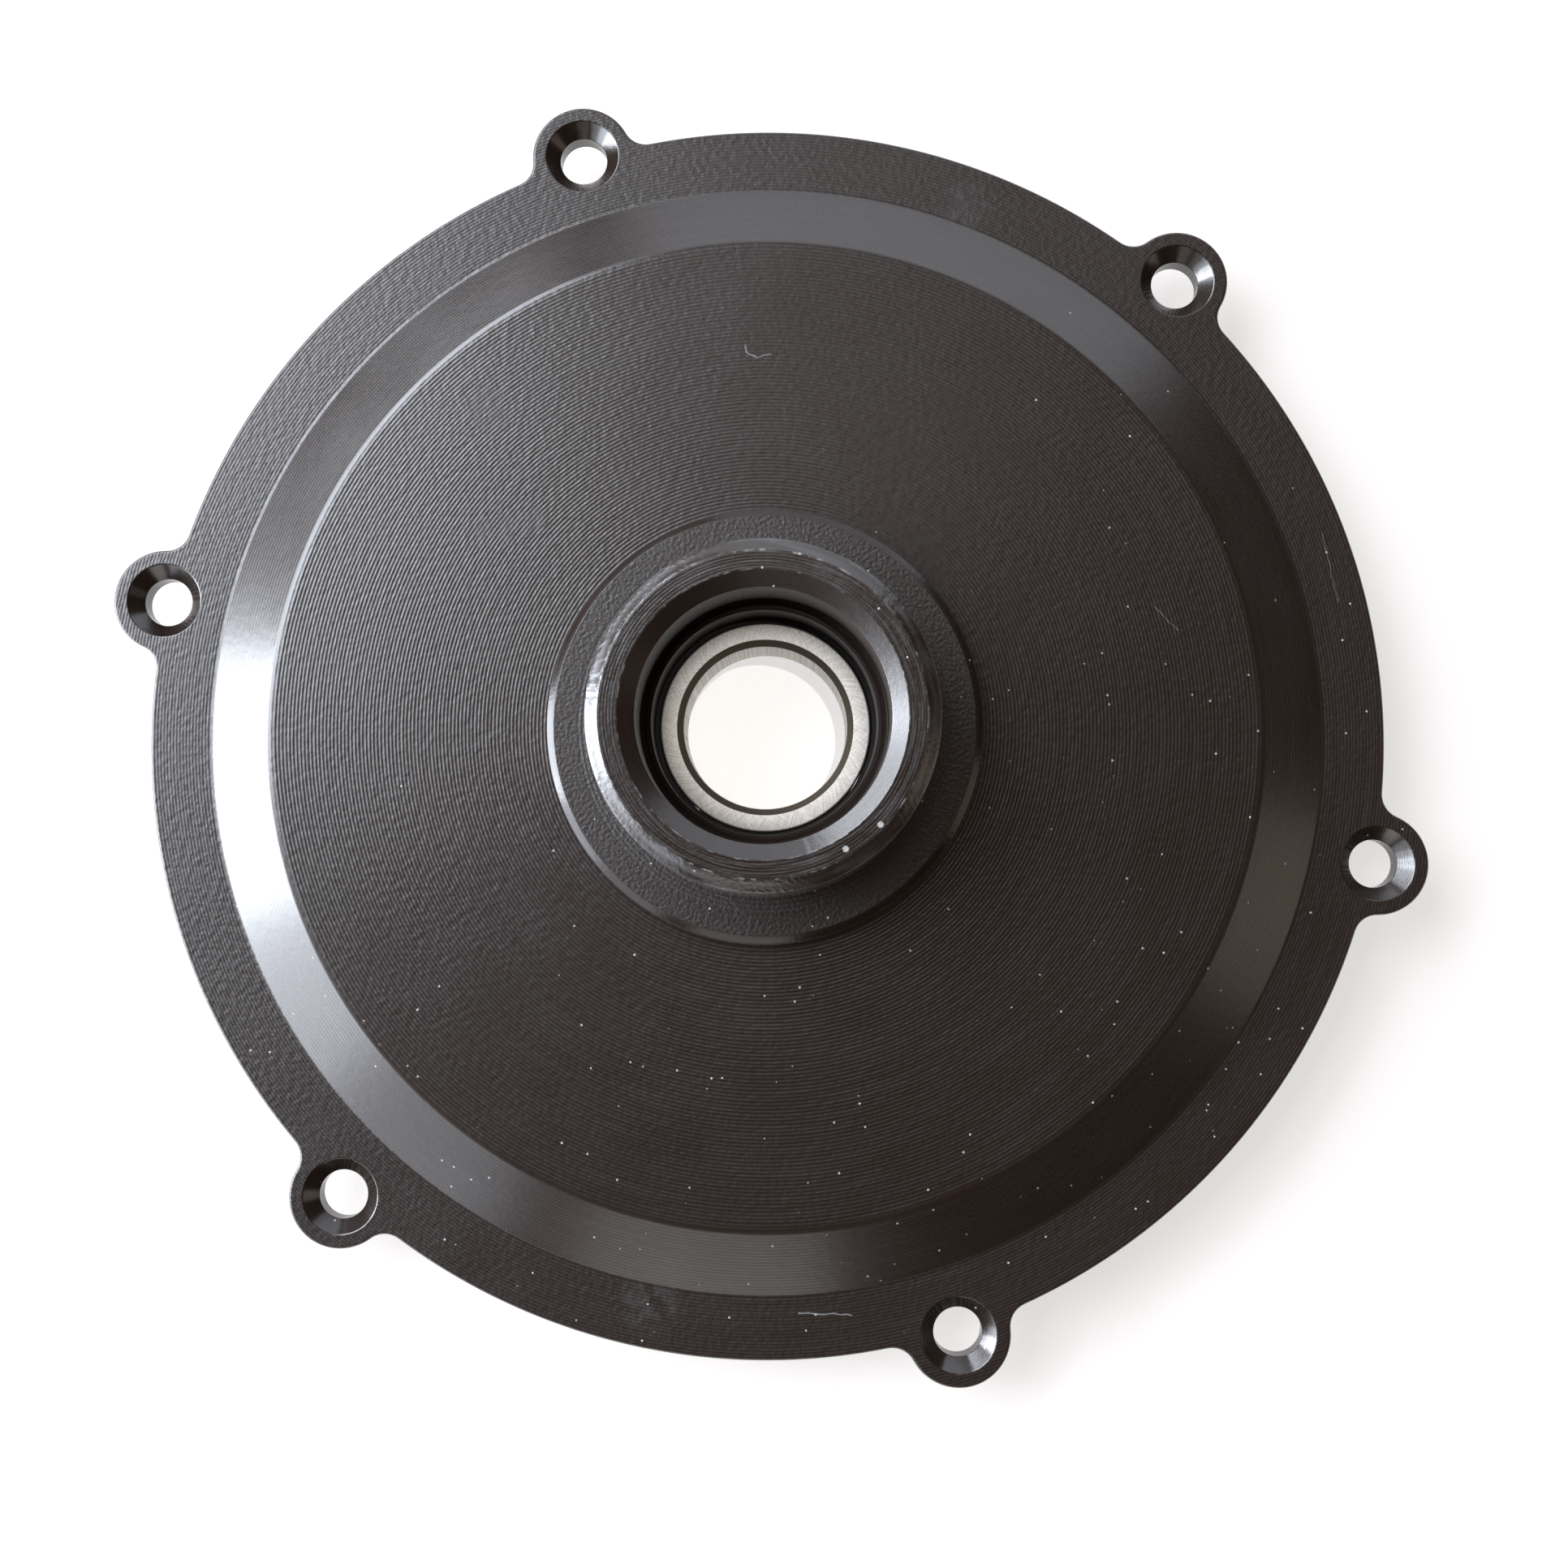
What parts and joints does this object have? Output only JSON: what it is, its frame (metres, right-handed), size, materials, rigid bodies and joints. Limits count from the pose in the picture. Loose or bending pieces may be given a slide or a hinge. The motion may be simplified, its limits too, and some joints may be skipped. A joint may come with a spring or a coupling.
{
  "type": "motor end shield",
  "caption": "Round black motor end shield with countersunk screw ears, a bevelled conical face and a raised boss over a sealed ball bearing that carries the shaft.",
  "frame": {"origin": "on the bearing's axis, in the plane of the mounting face", "axes": "+Z along the bearing's axis, out of the motor; +X through one screw ear"},
  "size_m": [0.1264, 0.116, 0.0208],
  "materials": {
    "black_casting": "satin black coat over turned aluminium",
    "bearing_steel": "ground",
    "ball_steel": "polished",
    "cage_steel": "pressed sheet",
    "seal_rubber": "moulded"
  },
  "bodies": {
    "shield": {"end_shield": "black_casting", "bearing_outer_ring": "bearing_steel", "front_seal": "seal_rubber", "rear_seal": "seal_rubber"},
    "inner_ring": {"bearing_inner_ring": "bearing_steel"},
    "cage": {"cage_front_half": "cage_steel", "cage_rear_half": "cage_steel", "cage_rivets": "cage_steel"},
    "rolling_ball_1": {"ball_1": "ball_steel"},
    "rolling_ball_2": {"ball_2": "ball_steel"},
    "rolling_ball_3": {"ball_3": "ball_steel"},
    "rolling_ball_4": {"ball_4": "ball_steel"},
    "rolling_ball_5": {"ball_5": "ball_steel"},
    "rolling_ball_6": {"ball_6": "ball_steel"},
    "rolling_ball_7": {"ball_7": "ball_steel"},
    "rolling_ball_8": {"ball_8": "ball_steel"},
    "rolling_ball_9": {"ball_9": "ball_steel"},
    "rolling_ball_10": {"ball_10": "ball_steel"}
  },
  "joints": [
    {"name": "inner_ring_spin", "type": "hinge", "parent": "shield", "child": "inner_ring", "pos_m": [0, 0, 0.0029], "axis": [0, 0, 1], "continuous": true},
    {"name": "cage_spin", "type": "hinge", "parent": "shield", "child": "cage", "pos_m": [0, 0, 0.0029], "axis": [0, 0, 1], "continuous": true},
    {"name": "ball_1_roll", "type": "hinge", "parent": "cage", "child": "rolling_ball_1", "pos_m": [0.01075, 0, 0.0029], "axis": [0, 0, 1], "continuous": true},
    {"name": "ball_2_roll", "type": "hinge", "parent": "cage", "child": "rolling_ball_2", "pos_m": [0.0087, 0.00632, 0.0029], "axis": [0, 0, 1], "continuous": true},
    {"name": "ball_3_roll", "type": "hinge", "parent": "cage", "child": "rolling_ball_3", "pos_m": [0.00332, 0.01022, 0.0029], "axis": [0, 0, 1], "continuous": true},
    {"name": "ball_4_roll", "type": "hinge", "parent": "cage", "child": "rolling_ball_4", "pos_m": [-0.00332, 0.01022, 0.0029], "axis": [0, 0, 1], "continuous": true},
    {"name": "ball_5_roll", "type": "hinge", "parent": "cage", "child": "rolling_ball_5", "pos_m": [-0.0087, 0.00632, 0.0029], "axis": [0, 0, 1], "continuous": true},
    {"name": "ball_6_roll", "type": "hinge", "parent": "cage", "child": "rolling_ball_6", "pos_m": [-0.01075, 0, 0.0029], "axis": [0, 0, 1], "continuous": true},
    {"name": "ball_7_roll", "type": "hinge", "parent": "cage", "child": "rolling_ball_7", "pos_m": [-0.0087, -0.00632, 0.0029], "axis": [0, 0, 1], "continuous": true},
    {"name": "ball_8_roll", "type": "hinge", "parent": "cage", "child": "rolling_ball_8", "pos_m": [-0.00332, -0.01022, 0.0029], "axis": [0, 0, 1], "continuous": true},
    {"name": "ball_9_roll", "type": "hinge", "parent": "cage", "child": "rolling_ball_9", "pos_m": [0.00332, -0.01022, 0.0029], "axis": [0, 0, 1], "continuous": true},
    {"name": "ball_10_roll", "type": "hinge", "parent": "cage", "child": "rolling_ball_10", "pos_m": [0.0087, -0.00632, 0.0029], "axis": [0, 0, 1], "continuous": true}
  ],
  "couplings": [
    {"joint": "cage_spin", "follows": "inner_ring_spin", "ratio": 0.4077},
    {"joint": "ball_1_roll", "follows": "inner_ring_spin", "ratio": -2.6162},
    {"joint": "ball_2_roll", "follows": "inner_ring_spin", "ratio": -2.6162},
    {"joint": "ball_3_roll", "follows": "inner_ring_spin", "ratio": -2.6162},
    {"joint": "ball_4_roll", "follows": "inner_ring_spin", "ratio": -2.6162},
    {"joint": "ball_5_roll", "follows": "inner_ring_spin", "ratio": -2.6162},
    {"joint": "ball_6_roll", "follows": "inner_ring_spin", "ratio": -2.6162},
    {"joint": "ball_7_roll", "follows": "inner_ring_spin", "ratio": -2.6162},
    {"joint": "ball_8_roll", "follows": "inner_ring_spin", "ratio": -2.6162},
    {"joint": "ball_9_roll", "follows": "inner_ring_spin", "ratio": -2.6162},
    {"joint": "ball_10_roll", "follows": "inner_ring_spin", "ratio": -2.6162}
  ]
}
